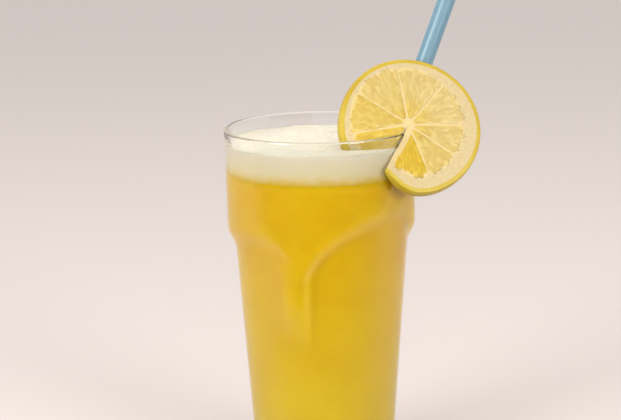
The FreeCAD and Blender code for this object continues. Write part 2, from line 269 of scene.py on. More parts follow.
def archLineTree():
    # height of one arch's line at an angle round the glass, or 0 beyond the arch, and how far that
    # angle is from the arch's left notch, in half widths of a ridge there
    tree, add, given = startTree("archLine", dict.fromkeys([
        "Turn", "Left Notch", "Crown", "Right Notch", "Left Height", "Crown Height", "Right Height",
        "Squareness", "Left Sharp", "Right Sharp", "Ridge Left", "Ridge Right",
    ], "Float"), {"Line": "Float", "Reach": "Float"})
    turn, left, crown, right, leftHeight, crownHeight, rightHeight, squareness = given[:8]
    leftSharp, rightSharp, ridgeLeft, ridgeRight = given[8:12]
    lapped = add("ShaderNodeMath", [left, 360.0], operation="ADD")
    angle = add("ShaderNodeMath", [turn, lapped, left], operation="WRAP")
    fromCrown = add("ShaderNodeMath", [angle, crown], operation="SUBTRACT")
    leftHalf = add("ShaderNodeMath", [crown, left], operation="SUBTRACT")
    rightHalf = add("ShaderNodeMath", [right, crown], operation="SUBTRACT")
    onRight = add("ShaderNodeMath", [fromCrown, 0.0], operation="GREATER_THAN")
    half = add("ShaderNodeMix", {"Factor": onRight, "A": leftHalf, "B": rightHalf})
    foot = add("ShaderNodeMix", {"Factor": onRight, "A": leftHeight, "B": rightHeight})
    away = add("ShaderNodeMath", [fromCrown], operation="ABSOLUTE")
    share = add("ShaderNodeMath", [away, half], operation="DIVIDE")
    within = add("ShaderNodeMath", [share, 1.0001], operation="LESS_THAN")
    power = add("ShaderNodeMath", [share, squareness], operation="POWER")
    rest = add("ShaderNodeMath", [1.0, power], operation="SUBTRACT", use_clamp=True)
    root = add("ShaderNodeMath", [1.0, squareness], operation="DIVIDE")
    steep = add("ShaderNodeMath", [rest, root], operation="POWER")
    gentle = add(
        "ShaderNodeMapRange", {"Value": share, "To Min": 1.0, "To Max": 0.0},
        interpolation_type="SMOOTHSTEP",
    )
    sharp = add("ShaderNodeMix", {"Factor": onRight, "A": leftSharp, "B": rightSharp})
    rise = add("ShaderNodeMix", {"Factor": sharp, "A": gentle, "B": steep})
    height = add("ShaderNodeMix", {"Factor": rise, "A": foot, "B": crownHeight})
    line = add("ShaderNodeMath", [height, within], operation="MULTIPLY")
    fromNotch = add("ShaderNodeMath", [turn, left], operation="SUBTRACT")
    shortWay = add("ShaderNodeMath", [fromNotch, 180.0, -180.0], operation="WRAP")
    toRight = add("ShaderNodeMath", [shortWay, 0.0], operation="GREATER_THAN")
    width = add("ShaderNodeMix", {"Factor": toRight, "A": ridgeLeft, "B": ridgeRight})
    aside = add("ShaderNodeMath", [shortWay, width], operation="DIVIDE")
    reach = add("ShaderNodeMath", [aside], operation="ABSOLUTE")
    add("NodeGroupOutput", {"Line": line, "Reach": reach})
    return tree


def pressedGlassTree():
    # turns the half section round the axis and gives the outside its arched relief
    sizes = dict.fromkeys([
        "height", "rimRadius", "rimBead", "rimBeadHeight", "baseRadius", "bodyTaper", "bandTaper",
        "shoulderRise", "ridgeStartHeight", "ridgeEndHeight", "ridgeLeft", "ridgeRight",
    ], "Float")
    inputs = {"profile": "Geometry", "stepsRound": "Int", **sizes, "material": "Material"}
    tree, add, size = startTree("pressedGlass", inputs, {"Geometry": "Geometry"})
    place = add("GeometryNodeInputPosition")
    parts = add("ShaderNodeSeparateXYZ", [place])
    markedAcross = add(
        "GeometryNodeStoreNamedAttribute",
        {"Geometry": size["profile"], "Name": "across", "Value": parts.outputs["X"]},
    )
    markedUp = add(
        "GeometryNodeStoreNamedAttribute",
        {"Geometry": markedAcross, "Name": "up", "Value": parts.outputs["Z"]},
    )
    profile = add("GeometryNodeMeshToCurve", {"Mesh": markedUp})
    ring = add(
        "GeometryNodeCurvePrimitiveCircle",
        {"Resolution": size["stepsRound"], "Radius": size["rimRadius"]},
    )
    index = add("GeometryNodeInputIndex")
    stepAngle = add("ShaderNodeMath", [360.0, size["stepsRound"]], operation="DIVIDE")
    ringTurn = add("ShaderNodeMath", [index, stepAngle], operation="MULTIPLY")
    markedRing = add(
        "GeometryNodeStoreNamedAttribute", {"Geometry": ring, "Name": "turn", "Value": ringTurn}
    )
    skin = add("GeometryNodeCurveToMesh", {"Curve": markedRing, "Profile Curve": profile})
    across, up, turn, outside = [
        add("GeometryNodeInputNamedAttribute", {"Name": name}).outputs["Attribute"]
        for name in ("across", "up", "turn", "outside")
    ]

    # the arched line is the highest of the arches' own lines, and the ridges stand at some notches
    archLine = archLineTree()
    notches = glassPlan["notches"]
    line, reach = 0.0, 360.0
    for notch, crown, after in zip(notches, glassPlan["arches"], notches[1:] + notches[:1]):
        arch = add(
            "GeometryNodeGroup",
            {"Turn": turn, "Left Notch": notch[0], "Left Height": notch[1], "Left Sharp": notch[2],
             "Crown": crown[0], "Crown Height": crown[1], "Squareness": crown[2],
             "Right Notch": notch[0] + (after[0] - notch[0]) % 360, "Right Height": after[1],
             "Right Sharp": after[2], "Ridge Left": size["ridgeLeft"], "Ridge Right": size["ridgeRight"]},
            node_tree=archLine,
        )
        line = add("ShaderNodeMath", [line, arch.outputs["Line"]], operation="MAXIMUM")
        if notch[2]:
            reach = add(
                "ShaderNodeMath", [reach, arch.outputs["Reach"]], operation="MINIMUM"
            )

    # a ridge runs down and fades out
    square = add("ShaderNodeMath", [reach, reach], operation="MULTIPLY")
    falling = add("ShaderNodeMath", [square, -1.0], operation="MULTIPLY")
    ridge = add("ShaderNodeMath", [falling], operation="EXPONENT")
    fade = add(
        "ShaderNodeMapRange",
        {"Value": up, "From Min": size["ridgeEndHeight"], "From Max": size["ridgeStartHeight"]},
        interpolation_type="SMOOTHSTEP",
    )
    ridgeShare = add("ShaderNodeMath", [ridge, fade], operation="MULTIPLY")

    # full is 1 on the upper band and 0 on the slimmer body
    foot = add("ShaderNodeMath", [line, size["shoulderRise"]], operation="SUBTRACT")
    shoulder = add(
        "ShaderNodeMapRange", {"Value": up, "From Min": foot, "From Max": line},
        interpolation_type="SMOOTHSTEP",
    )
    full = add("ShaderNodeMath", [shoulder, ridgeShare], operation="MAXIMUM")
    bodyLean = add("ShaderNodeMath", [up, size["bodyTaper"], size["baseRadius"]], operation="MULTIPLY_ADD")
    below = add("ShaderNodeMath", [up, size["height"]], operation="SUBTRACT")
    bandEdge = add("ShaderNodeMath", [size["rimRadius"], size["rimBead"]], operation="SUBTRACT")
    bandLean = add("ShaderNodeMath", [below, size["bandTaper"], bandEdge], operation="MULTIPLY_ADD")
    beadStart = add("ShaderNodeMath", [size["height"], size["rimBeadHeight"]], operation="SUBTRACT")
    bead = add(
        "ShaderNodeMapRange",
        {"Value": up, "From Min": beadStart, "From Max": size["height"], "To Max": size["rimBead"]},
        interpolation_type="SMOOTHSTEP",
    )
    band = add("ShaderNodeMath", [bandLean, bead], operation="ADD")
    depth = add("ShaderNodeMath", [band, bodyLean], operation="SUBTRACT")
    swell = add("ShaderNodeMath", [depth, full], operation="MULTIPLY")
    radius = add("ShaderNodeMath", [swell, outside, across], operation="MULTIPLY_ADD")

    angle = add("ShaderNodeMath", [turn], operation="RADIANS")
    sine = add("ShaderNodeMath", [angle], operation="SINE")
    cosine = add("ShaderNodeMath", [angle], operation="COSINE")
    x = add("ShaderNodeMath", [radius, sine], operation="MULTIPLY")
    forward = add("ShaderNodeMath", [radius, cosine], operation="MULTIPLY")
    y = add("ShaderNodeMath", [forward, -1.0], operation="MULTIPLY")
    point = add("ShaderNodeCombineXYZ", {"X": x, "Y": y, "Z": up})
    shaped = add("GeometryNodeSetPosition", {"Geometry": skin, "Position": point})
    merged = add("GeometryNodeMergeByDistance", {"Geometry": shaped, "Distance": 1e-6})
    whole = add("GeometryNodeRealizeInstances", {"Geometry": merged})
    finished = add("GeometryNodeSetMaterial", {"Geometry": whole, "Material": size["material"]})
    add("NodeGroupOutput", {"Geometry": finished})
    return tree


def pressedSodaLimeGlass():
    # fire-polished soda-lime glass: clear, smooth, with the faint waviness that a press mould leaves
    material, add, shader = startMaterial("pressedSodaLimeGlass")
    place = add("ShaderNodeTexCoord").outputs["Object"]
    waves = add("ShaderNodeTexNoise", {"Vector": place, "Scale": 1 / (14 * mm), "Detail": 1.0})
    bump = add("ShaderNodeBump", {"Height": waves, "Strength": 0.25, "Distance": 0.12 * mm})
    fillSockets(shader, {
        "Base Color": toLinear("#FBFDFB"), "Roughness": 0.0, "IOR": 1.52, "Transmission Weight": 1.0,
        "Normal": bump,
    })
    return material


def makeGlass():
    profile, outside = glassProfile()
    mesh = bpy.data.meshes.new("glassProfile")
    mesh.from_pydata([(x, 0, z) for x, z in profile], [(n, n + 1) for n in range(len(profile) - 1)], [])
    glass = addObject("pressedGlass", mesh)
    storePoints(glass, "outside", outside)
    plan = glassPlan
    growFrom(glass, pressedGlassTree(), {
        **plan, "material": pressedSodaLimeGlass(),
        "ridgeLeft": math.degrees(plan["ridgeLeftWidth"] / plan["rimRadius"]),
        "ridgeRight": math.degrees(plan["ridgeRightWidth"] / plan["rimRadius"]),
    })
    closeUp(glass)
    settle(glass, "glass")


makeGlass()

# the straw comes before the foam, which climbs it a little
strawPlan = {
    "foot": Vector((-16.05 * mm, -7.4 * mm, 14.4 * mm)),
    "lean": math.radians(20.7),
    "turn": math.radians(12.2),
    "total": 210 * mm,
    "radius": 3.6 * mm,
    "boreRadius": 3.25 * mm,
    "endRound": 0.12 * mm,
    "stepsRound": 64,
    "rowStep": 10 * mm,
    "streaksRound": 4,
    "streakLength": 60 * mm,
}
strawAxis = Vector((
    math.sin(strawPlan["lean"]) * math.cos(strawPlan["turn"]),
    math.sin(strawPlan["lean"]) * math.sin(strawPlan["turn"]),
    math.cos(strawPlan["lean"]),
))
strawTurned = Matrix.Rotation(strawPlan["turn"], 3, "Z") @ Matrix.Rotation(strawPlan["lean"], 3, "Y")


def extrudedPolypropylene():
    # translucent blue polypropylene, extruded: a soft satin gloss with faint lines along the tube
    material, add, shader = startMaterial("extrudedPolypropylene")
    lines = add("ShaderNodeAttribute", attribute_name="around")
    streaks = add("ShaderNodeTexNoise", {"Vector": lines.outputs["Vector"], "Scale": 1.0, "Detail": 2.0})
    colour = add(
        "ShaderNodeValToRGB", {"Fac": streaks},
        stops=[(0.3, "#66879A"), (0.7, "#7092A2")],
    )
    bump = add("ShaderNodeBump", {"Height": streaks, "Strength": 0.2, "Distance": 0.05 * mm})
    fillSockets(shader, {
        "Base Color": colour, "Normal": bump, "Roughness": 0.34, "IOR": 1.49, "Subsurface Weight": 0.5,
        "Subsurface Radius": (0.8, 1.0, 1.2), "Subsurface Scale": 1.2 * mm,
    })
    return material


def makeStraw():
    plan = strawPlan
    outer, bore, small = plan["radius"], plan["boreRadius"], plan["endRound"]
    total = plan["total"]
    section = [(bore, small), (bore + small, 0), (outer - small, 0), (outer, small)]
    section += straightRun((outer, small), (outer, total - small), plan["rowStep"])
    section += [(outer, total - small), (outer - small, total)]
    section += [(bore + small, total), (bore, total - small)]
    section += straightRun((bore, total - small), (bore, small), plan["rowStep"])
    steps, rows = plan["stepsRound"], len(section)
    streaks = plan["streaksRound"]
    points, around = [], []
    for step in range(steps):
        angle = 2 * math.pi * step / steps
        for radius, height in section:
            local = Vector((radius * math.cos(angle), radius * math.sin(angle), height))
            points.append(plan["foot"] + strawTurned @ local)
            along = height / plan["streakLength"]
            around.append((streaks * math.cos(angle), streaks * math.sin(angle), along))
    faces = [
        (step * rows + row, (step + 1) % steps * rows + row,
         (step + 1) % steps * rows + (row + 1) % rows, step * rows + (row + 1) % rows)
        for step in range(steps) for row in range(rows)
    ]
    straw = makePiece("drinkingStraw", points, faces, [extrudedPolypropylene()])
    storePoints(straw, "around", around, "FLOAT_VECTOR")
    closeUp(straw)
    settle(straw, "straw")


makeStraw()

slicePlan = {
    "centre": Vector((35.7, -16.4, 151.2)) * mm,
    "radius": 29.2 * mm,
    "thickness": 6 * mm,
    "edgeBulge": 0.9 * mm,
    "core": Vector((-0.8, 0.8)) * mm,
    "coreRadius": 2.5 * mm,
    "lean": math.radians(28.5),
    "turn": math.radians(13),
    "slitAngle": 234,
    "slitHalf": 2.5,
    "flapBend": 2.6 * mm,
    "flapFade": 32,
    "flapTrim": 0.2,
    "flapTrimFade": 22,
    "fleshCentre": Vector((-1.3, 1.5)) * mm,
    "fleshRadius": 23.6 * mm,
    "segmentRound": 2.6 * mm,
    "segmentDrop": 1.1 * mm,
    "zestWidth": 2.1 * mm,
    "membraneHalf": 0.22 * mm,
    "cutStrip": 2.6 * mm,
    "wallGap": 0.12 * mm,
    # the slice's edge is uneven: share of the radius, waves round, and where they start
    "unevenEdge": [(0.010, 2, 0.6), (0.006, 3, 2)],
    # the flesh's edge wobbles: depth, wobbles round, and layer of the noise
    "wobble": (0.25 * mm, 4, 7),
    # steps round the slice, over flesh, pith and zest, and over the bulging edge
    "stations": 330,
    "zoneSteps": [46, 12, 4],
    "edgeSteps": 12,
    # a flap moves back by up to this many degrees to clear the wall, and the rest follows this far
    "mostClearTurn": 40,
    "clearFade": 60,
    # relief of the cut face
    "swell": 0.28 * mm,
    "swellFromMembrane": 1.3 * mm,
    "swellFromPith": 0.07,
    "swellFromCore": 2 * mm,
    "fleshGrain": (0.07 * mm, 2.2 * mm),
    "pithGrain": (0.06 * mm, 3 * mm),
    "rindRoll": 0.12 * mm,
    # how far the pale of the membranes, core and pith fades into the flesh
    "membraneFade": 0.5 * mm,
    "coreFade": 0.9 * mm,
    "pithFade": (0.9, 0.1),
    # fine sacs of the flesh: count over a radian, length, and each segment's shift along and across
    "sacsPerRadian": 9,
    "sacLength": 5.5 * mm,
    "segmentShift": (5, 3.7),
    # raised sacs keep this far from membranes and core, and end at this share of the flesh
    "sacFromMembrane": 0.55 * mm,
    "sacFromCore": 3.4 * mm,
    "sacEnd": 0.93,
    # degrees of the membranes from the slit round to the slit, and how deep yellow each segment is painted:
    # the paler segments are painted backlight, light shining through the thin flesh from behind
    "membranes": [234, 284, 320, 356, 403, 453, 502, 545.5, 594],
    "paintedBacklitYellow": [1.0, 0.35, 0.2, 0.12, 0.15, 0.3, 0.6, 0.9],
    # the flesh is painted deeper yellow towards the core: how far out, as a share of the flesh, and how deep
    "coreYellowFade": 0.75,
    "coreYellowDepth": 0.8,
}
sliceTurned = Matrix.Rotation(slicePlan["turn"], 3, "Z") @ Matrix.Rotation(
    math.pi / 2 - slicePlan["lean"], 3, "X"
)


def circleReach(angle, centre, radius):
    # distance from the core to a circle in the slice's plane
    ray = Vector((math.cos(angle), math.sin(angle)))
    offset = centre - slicePlan["core"]
    along = offset.dot(ray)
    return along + math.sqrt(radius ** 2 - offset.length_squared + along ** 2)


def flapTrim(degrees):
    # the outer flap is a little shorter than the rest
    gone = (degrees - slicePlan["slitAngle"] - slicePlan["slitHalf"]) % 360
    return 1 - slicePlan["flapTrim"] * math.exp(-(gone / slicePlan["flapTrimFade"]) ** 2)


def edgeReach(degrees):
    angle = math.radians(degrees)
    uneven = sum(
        share * math.sin(waves * angle + start) for share, waves, start in slicePlan["unevenEdge"]
    )
    reach = circleReach(angle, Vector((0, 0)), slicePlan["radius"] * (1 + uneven))
    return reach * flapTrim(degrees)


def segmentAt(degrees, distance):
    # number of the segment, and how far the point is inside its nearer membrane
    lapped = slicePlan["slitAngle"] + (degrees - slicePlan["slitAngle"]) % 360
    membranes = slicePlan["membranes"]
    number = 0
    while number < len(membranes) - 2 and lapped > membranes[number + 1]:
        number += 1
    before = math.radians(lapped - membranes[number]) * distance
    after = math.radians(membranes[number + 1] - lapped) * distance
    if number == 0:
        before -= slicePlan["cutStrip"]
    return number, min(before, after)


def fleshReach(degrees):
    # each segment's outer end is rounded towards its membranes
    plan = slicePlan
    angle = math.radians(degrees)
    reach = circleReach(angle, plan["fleshCentre"], plan["fleshRadius"]) * flapTrim(degrees)
    near = min(1, max(0, 1 - segmentAt(degrees, reach)[1] / plan["segmentRound"]))
    depth, count, layer = plan["wobble"]
    wobble = depth * noise.noise(Vector((math.cos(angle) * count, math.sin(angle) * count, layer)))
    return reach + wobble - plan["segmentDrop"] * near ** 2


def slicePoint(degrees, distance, high, gone):
    # a point of the slice, bent out of its plane beside the slit, in the frame
    plan = slicePlan
    angle = math.radians(degrees)
    sweep = 360 - 2 * plan["slitHalf"]
    bend = math.exp(-gone / plan["flapFade"]) - math.exp(-(sweep - gone) / plan["flapFade"])
    local = Vector((
        plan["core"].x + distance * math.cos(angle),
        plan["core"].y + distance * math.sin(angle),
        high + plan["flapBend"] * bend * distance / plan["radius"],
    ))
    return plan["centre"] + sliceTurned @ local


def inWall(point):
    # whether a point is inside the glass's wall, with the gap
    gap = slicePlan["wallGap"]
    if point.z > glassPlan["height"] + gap:
        return False
    outer = glassPlan["rimRadius"] - glassPlan["bandTaper"] * (glassPlan["height"] - point.z)
    across = math.hypot(point.x, point.y)
    return innerRadius(point.z) - gap < across < outer + gap


def clearTurn(distance, high, side):
    # degrees that a flap's cut face stands back from its place so as to clear the wall
    plan = slicePlan
    sweep = 360 - 2 * plan["slitHalf"]
    for tenth in range(plan["mostClearTurn"] * 10):
        back = tenth / 10
        gone = back if side > 0 else sweep - back
        degrees = plan["slitAngle"] + plan["slitHalf"] + gone
        if not inWall(slicePoint(degrees, distance, high, gone)):
            return back
    return 0


def sliceRows():
    # rows of one section from the front's core, out to the rind, round it and back: each is
    # (zone, share of the zone, height, side of the slice) and zones 0 to 2 are flesh, pith and zest
    half = slicePlan["thickness"] / 2
    face = [(0, 0.0)]
    for zone, steps in enumerate(slicePlan["zoneSteps"]):
        face += [(zone, n / steps) for n in range(1, steps + 1)]
    rows = [(zone, share, half, 1) for zone, share in face]
    arcSteps = slicePlan["edgeSteps"]
    for n in range(1, arcSteps):
        rows.append((3, 0, half * math.cos(math.pi * n / arcSteps), 0))
    rows += [(zone, share, -half, -1) for zone, share in reversed(face)]
    return rows


def rowDistance(zone, share, high, degrees):
    plan = slicePlan
    edge = edgeReach(degrees)
    flesh = fleshReach(degrees)
    shoulder = edge - plan["edgeBulge"]
    zest = shoulder - plan["zestWidth"] + plan["edgeBulge"]
    if zone == 0:
        return flesh * share
    if zone == 1:
        return flesh + (zest - flesh) * share
    if zone == 2:
        return zest + (shoulder - zest) * share
    half = plan["thickness"] / 2
    return shoulder + plan["edgeBulge"] * math.sqrt(max(0, 1 - (high / half) ** 2))


def faceLift(zone, share, degrees, distance):
    # relief of the cut face: segments swell a little, the membranes lie lower, the rind rolls off
    plan = slicePlan
    angle = math.radians(degrees)
    if zone == 0:
        sideways = segmentAt(degrees, distance)[1]
        beside = smooth((sideways - plan["membraneHalf"]) / plan["swellFromMembrane"])
        outwards = smooth((1 - share) / plan["swellFromPith"])
        inwards = smooth((distance - plan["coreRadius"]) / plan["swellFromCore"])
        depth, grain = plan["fleshGrain"]
        rough = depth * noise.noise(Vector((math.cos(angle), math.sin(angle), 0)) * distance / grain)
        return plan["swell"] * beside * outwards * inwards + rough
    if zone == 1:
        depth, grain = plan["pithGrain"]
        return depth * noise.noise(Vector((math.cos(angle), math.sin(angle), 3)) * distance / grain)
    if zone == 2:
        return -plan["rindRoll"] * share ** 2
    return 0


def sliceMesh():
    plan = slicePlan
    rows = sliceRows()
    stations = plan["stations"]
    sweep = 360 - 2 * plan["slitHalf"]
    start = plan["slitAngle"] + plan["slitHalf"]
    turnBack = {}
    for row, (zone, share, high, side) in enumerate(rows):
        for flap, degrees in ((1, start), (-1, start + sweep)):
            distance = rowDistance(zone, share, high, degrees)
            turnBack[row, flap] = clearTurn(distance, high, flap)
    points, info = [], []
    for station in range(stations + 1):
        gone = sweep * station / stations
        for row, (zone, share, high, side) in enumerate(rows):
            # the stations beside the slit move back with it
            outer = turnBack[row, 1] * max(0, 1 - gone / plan["clearFade"]) ** 2
            inner = turnBack[row, -1] * max(0, 1 - (sweep - gone) / plan["clearFade"]) ** 2
            moved = gone + outer - inner
            degrees = start + moved
            distance = rowDistance(zone, share, high, degrees)
            if zone == 0 and distance < plan["coreRadius"]:
                degrees = plan["slitAngle"] + 360 * station / stations
            lift = faceLift(zone, share, degrees, distance) * side
            points.append(slicePoint(degrees, distance, high + lift, moved))
            info.append((zone, share, degrees, distance))
    return points, info, rows


def lemonZest():
    # waxed lemon zest: waxy yellow skin with small oil glands that dimple it
    material, add, shader = startMaterial("waxedLemonZest")
    place = add("ShaderNodeTexCoord").outputs["Object"]
    glands = add("ShaderNodeTexVoronoi", {"Vector": place, "Scale": 1 / (1.1 * mm)}, feature="SMOOTH_F1")
    patches = add("ShaderNodeTexNoise", {"Vector": place, "Scale": 1 / (16 * mm), "Detail": 3.0})
    colour = add(
        "ShaderNodeValToRGB", {"Fac": patches},
        stops=[(0.3, "#AA8F1C"), (0.52, "#B29926"), (0.72, "#BAA53E")],
    )
    bump = add("ShaderNodeBump", {"Height": glands, "Strength": 0.35, "Distance": 0.25 * mm})
    fillSockets(shader, {
        "Base Color": colour, "Normal": bump, "Roughness": 0.38, "IOR": 1.45,
        "Subsurface Weight": 0.25, "Subsurface Radius": (1.0, 0.6, 0.15), "Subsurface Scale": 1.5 * mm,
    })
    return material


def lemonPith():
    # fresh lemon pith: a soft white sponge that light sinks into
    material, add, shader = startMaterial("freshLemonPith")
    place = add("ShaderNodeTexCoord").outputs["Object"]
    sponge = add("ShaderNodeTexNoise", {"Vector": place, "Scale": 1 / (1.4 * mm), "Detail": 4.0})
    colour = add(
        "ShaderNodeValToRGB", {"Fac": sponge},
        stops=[(0.3, "#B8A476"), (0.7, "#C0AE86")],
    )
    bump = add("ShaderNodeBump", {"Height": sponge, "Strength": 0.3, "Distance": 0.2 * mm})
    fillSockets(shader, {
        "Base Color": colour, "Normal": bump, "Roughness": 0.6, "IOR": 1.4, "Subsurface Weight": 0.5,
        "Subsurface Radius": (1.0, 0.8, 0.5), "Subsurface Scale": 2 * mm,
    })
    return material


def lemonFlesh():
    # juicy lemon flesh: wet, clear sacs that light passes into, with painted backlight: segments paler where
    # light shines through from behind, deeper yellow where the drink lies behind
    material, add, shader = startMaterial("juicyLemonFlesh")
    backlitYellow = add("ShaderNodeAttribute", attribute_name="paintedBacklitYellow")
    membrane = add("ShaderNodeAttribute", attribute_name="membrane")
    ray = add("ShaderNodeAttribute", attribute_name="ray")
    sacs = add("ShaderNodeTexVoronoi", {"Vector": ray.outputs["Vector"], "Scale": 1.0}, feature="F1")
    # painted backlight: each segment pale where light would shine through the slice from behind, deep yellow
    # where it wouldn't
    juiceWithBacklight = add(
        "ShaderNodeMix", {0: backlitYellow.outputs["Fac"], 6: toLinear("#C0A96C"), 7: toLinear("#BE9F2E")},
        data_type="RGBA",
    )
    # painted shade: each sac is a little darker towards its edges
    shade = add(
        "ShaderNodeValToRGB", {"Fac": sacs},
        stops=[(0.0, "#FFFFFF"), (0.9, "#FCF8EE")],
    )
    toned = add(
        "ShaderNodeMix", {0: 1.0, 6: juiceWithBacklight.outputs[2], 7: shade.outputs["Color"]},
        data_type="RGBA", blend_type="MULTIPLY",
    )
    skin = add(
        "ShaderNodeMix", {0: membrane.outputs["Fac"], 6: toned.outputs[2], 7: toLinear("#C8B380")},
        data_type="RGBA",
    )
    bump = add("ShaderNodeBump", {"Height": sacs, "Strength": 0.2, "Distance": 0.15 * mm}, invert=True)
    fillSockets(shader, {
        "Base Color": skin.outputs[2], "Normal": bump, "Roughness": 0.22, "IOR": 1.36,
        "Subsurface Weight": 0.25, "Subsurface Radius": (1.0, 0.75, 0.25),
        "Subsurface Scale": 1.2 * mm,
    })
    return material


def makeSlice():
    plan = slicePlan
    points, info, rows = sliceMesh()
    count = len(rows)
    stations = plan["stations"]
    faces, zones = [], []
    for station in range(stations):
        for row in range(count - 1):
            here = station * count + row
            faces.append((here, here + 1, here + count + 1, here + count))
            zones.append(max(rows[row][0], rows[row + 1][0]))
    # the two cut faces of the slit, from the edge of the core outwards
    for station in (0, stations):
        for row in range(count // 2):
            other = count - 1 - row
            here = station * count
            if other - row > 1 and info[here + row][3] >= plan["coreRadius"]:
                faces.append((here + row, here + row + 1, here + other - 1, here + other))
                zones.append(max(rows[row][0], rows[row + 1][0]))
    skin = [min(zone, 2) for zone in zones]
    materials = [lemonFlesh(), lemonPith(), lemonZest()]
    lemon = makePiece("lemonSlice", points, faces, materials, skin)
    membrane, paintedBacklitYellow, rays, juicy, outward = [], [], [], [], []
    fadeStart, fadeWidth = plan["pithFade"]
    shiftAlong, shiftAcross = plan["segmentShift"]
    for zone, share, degrees, distance in info:
        number, sideways = segmentAt(degrees, distance)
        onMembrane = 1 - smooth((sideways - plan["membraneHalf"]) / plan["membraneFade"])
        onCore = 1 - smooth((distance - plan["coreRadius"]) / plan["coreFade"])
        nearPith = smooth((share - fadeStart) / fadeWidth) if zone == 0 else 1
        membrane.append(max(onMembrane, onCore, nearPith))
        # each point takes its segment's painted backlight, deepened to yellow towards the core
        nearCore = 1 - smooth(share / plan["coreYellowFade"])
        paintedBacklitYellow.append(max(plan["paintedBacklitYellow"][number], plan["coreYellowDepth"] * nearCore) if zone == 0 else 0)
        angle = math.radians(degrees)
        along = angle * plan["sacsPerRadian"] + number * shiftAlong
        rays.append((along, distance / plan["sacLength"], number * shiftAcross))
        clear = sideways > plan["sacFromMembrane"] and distance > plan["sacFromCore"]
        juicy.append(1.0 if zone == 0 and clear and share < plan["sacEnd"] else 0.0)
        outward.append(sliceTurned @ Vector((math.cos(angle), math.sin(angle), 0)))
    storePoints(lemon, "membrane", membrane)
    storePoints(lemon, "paintedBacklitYellow", paintedBacklitYellow)
    storePoints(lemon, "ray", rays, "FLOAT_VECTOR")
    storePoints(lemon, "scatterHere", juicy)
    storePoints(lemon, "pointsAlong", outward, "FLOAT_VECTOR")
    closeUp(lemon)
    settle(lemon, "lemon_slice")
    return lemon


def scatterTree():
    # small rounded shapes over the part of a surface marked scatterHere, along pointsAlong
    sizes = dict.fromkeys(["spacing", "crowding", "smallest", "largest", "skew", "taper", "sink"], "Float")
    inputs = {"surface": "Geometry", **sizes, "stretch": "Vector", "seed": "Int", "material": "Material"}
    tree, add, size = startTree("scatterOnSurface", inputs, {"Geometry": "Geometry"})
    here = add("GeometryNodeInputNamedAttribute", {"Name": "scatterHere"})
    chosen = add("FunctionNodeCompare", [here.outputs["Attribute"], 0.5], operation="GREATER_THAN")
    spots = add(
        "GeometryNodeDistributePointsOnFaces",
        {"Mesh": size["surface"], "Selection": chosen, "Distance Min": size["spacing"],
         "Density Max": size["crowding"], "Seed": size["seed"]},
        distribute_method="POISSON",
    )
    ball = add("GeometryNodeMeshUVSphere", {"Segments": 8, "Rings": 6, "Radius": 0.5})
    place = add("GeometryNodeInputPosition")
    parts = add("ShaderNodeSeparateXYZ", [place])
    thinner = add("ShaderNodeMath", [parts.outputs["X"], size["taper"], 1.0], operation="MULTIPLY_ADD")
    narrowed = add("ShaderNodeCombineXYZ", {"X": 1.0, "Y": thinner, "Z": thinner})
    drawn = add("ShaderNodeVectorMath", [place, narrowed], operation="MULTIPLY")
    drop = add("GeometryNodeSetPosition", {"Geometry": ball, "Position": drawn})
    direction = add("GeometryNodeInputNamedAttribute", {"Name": "pointsAlong"}, data_type="FLOAT_VECTOR")
    upright = add("FunctionNodeAlignRotationToVector", {"Vector": spots.outputs["Normal"]}, axis="Z")
    aligned = add(
        "FunctionNodeAlignRotationToVector",
        {"Rotation": upright, "Vector": direction.outputs["Attribute"]}, axis="X", pivot_axis="Z",
    )
    chance = add("FunctionNodeRandomValue", {"Seed": size["seed"]}, data_type="FLOAT")
    skewed = add("ShaderNodeMath", [chance.outputs[1], size["skew"]], operation="POWER")
    length = add(
        "ShaderNodeMapRange",
        {"Value": skewed, "To Min": size["smallest"], "To Max": size["largest"]},
    )
    shape = add("ShaderNodeVectorMath", {0: size["stretch"], "Scale": length}, operation="SCALE")
    depth = add("ShaderNodeMath", [length, size["sink"]], operation="MULTIPLY")
    down = add("ShaderNodeVectorMath", {0: spots.outputs["Normal"], "Scale": depth}, operation="SCALE")
    spotPlace = add("GeometryNodeInputPosition")
    lowered = add("ShaderNodeVectorMath", [spotPlace, down], operation="SUBTRACT")
    sunk = add("GeometryNodeSetPosition", {"Geometry": spots, "Position": lowered})
    many = add(
        "GeometryNodeInstanceOnPoints",
        {"Points": sunk, "Instance": drop, "Rotation": aligned, "Scale": shape},
    )
    tone = add("FunctionNodeRandomValue", {"Seed": 7}, data_type="FLOAT")
    toned = add(
        "GeometryNodeStoreNamedAttribute",
        {"Geometry": many, "Name": "tone", "Value": tone.outputs[1]}, domain="INSTANCE",
    )
    real = add("GeometryNodeRealizeInstances", {"Geometry": toned})
    soft = add("GeometryNodeSetShadeSmooth", {"Geometry": real})
    finished = add("GeometryNodeSetMaterial", {"Geometry": soft, "Material": size["material"]})
    add("NodeGroupOutput", {"Geometry": finished})
    return tree


scatter = scatterTree()


def scatterOver(surface, name, values):
    return growFrom(addObject(name, surface.data.copy()), scatter, values)


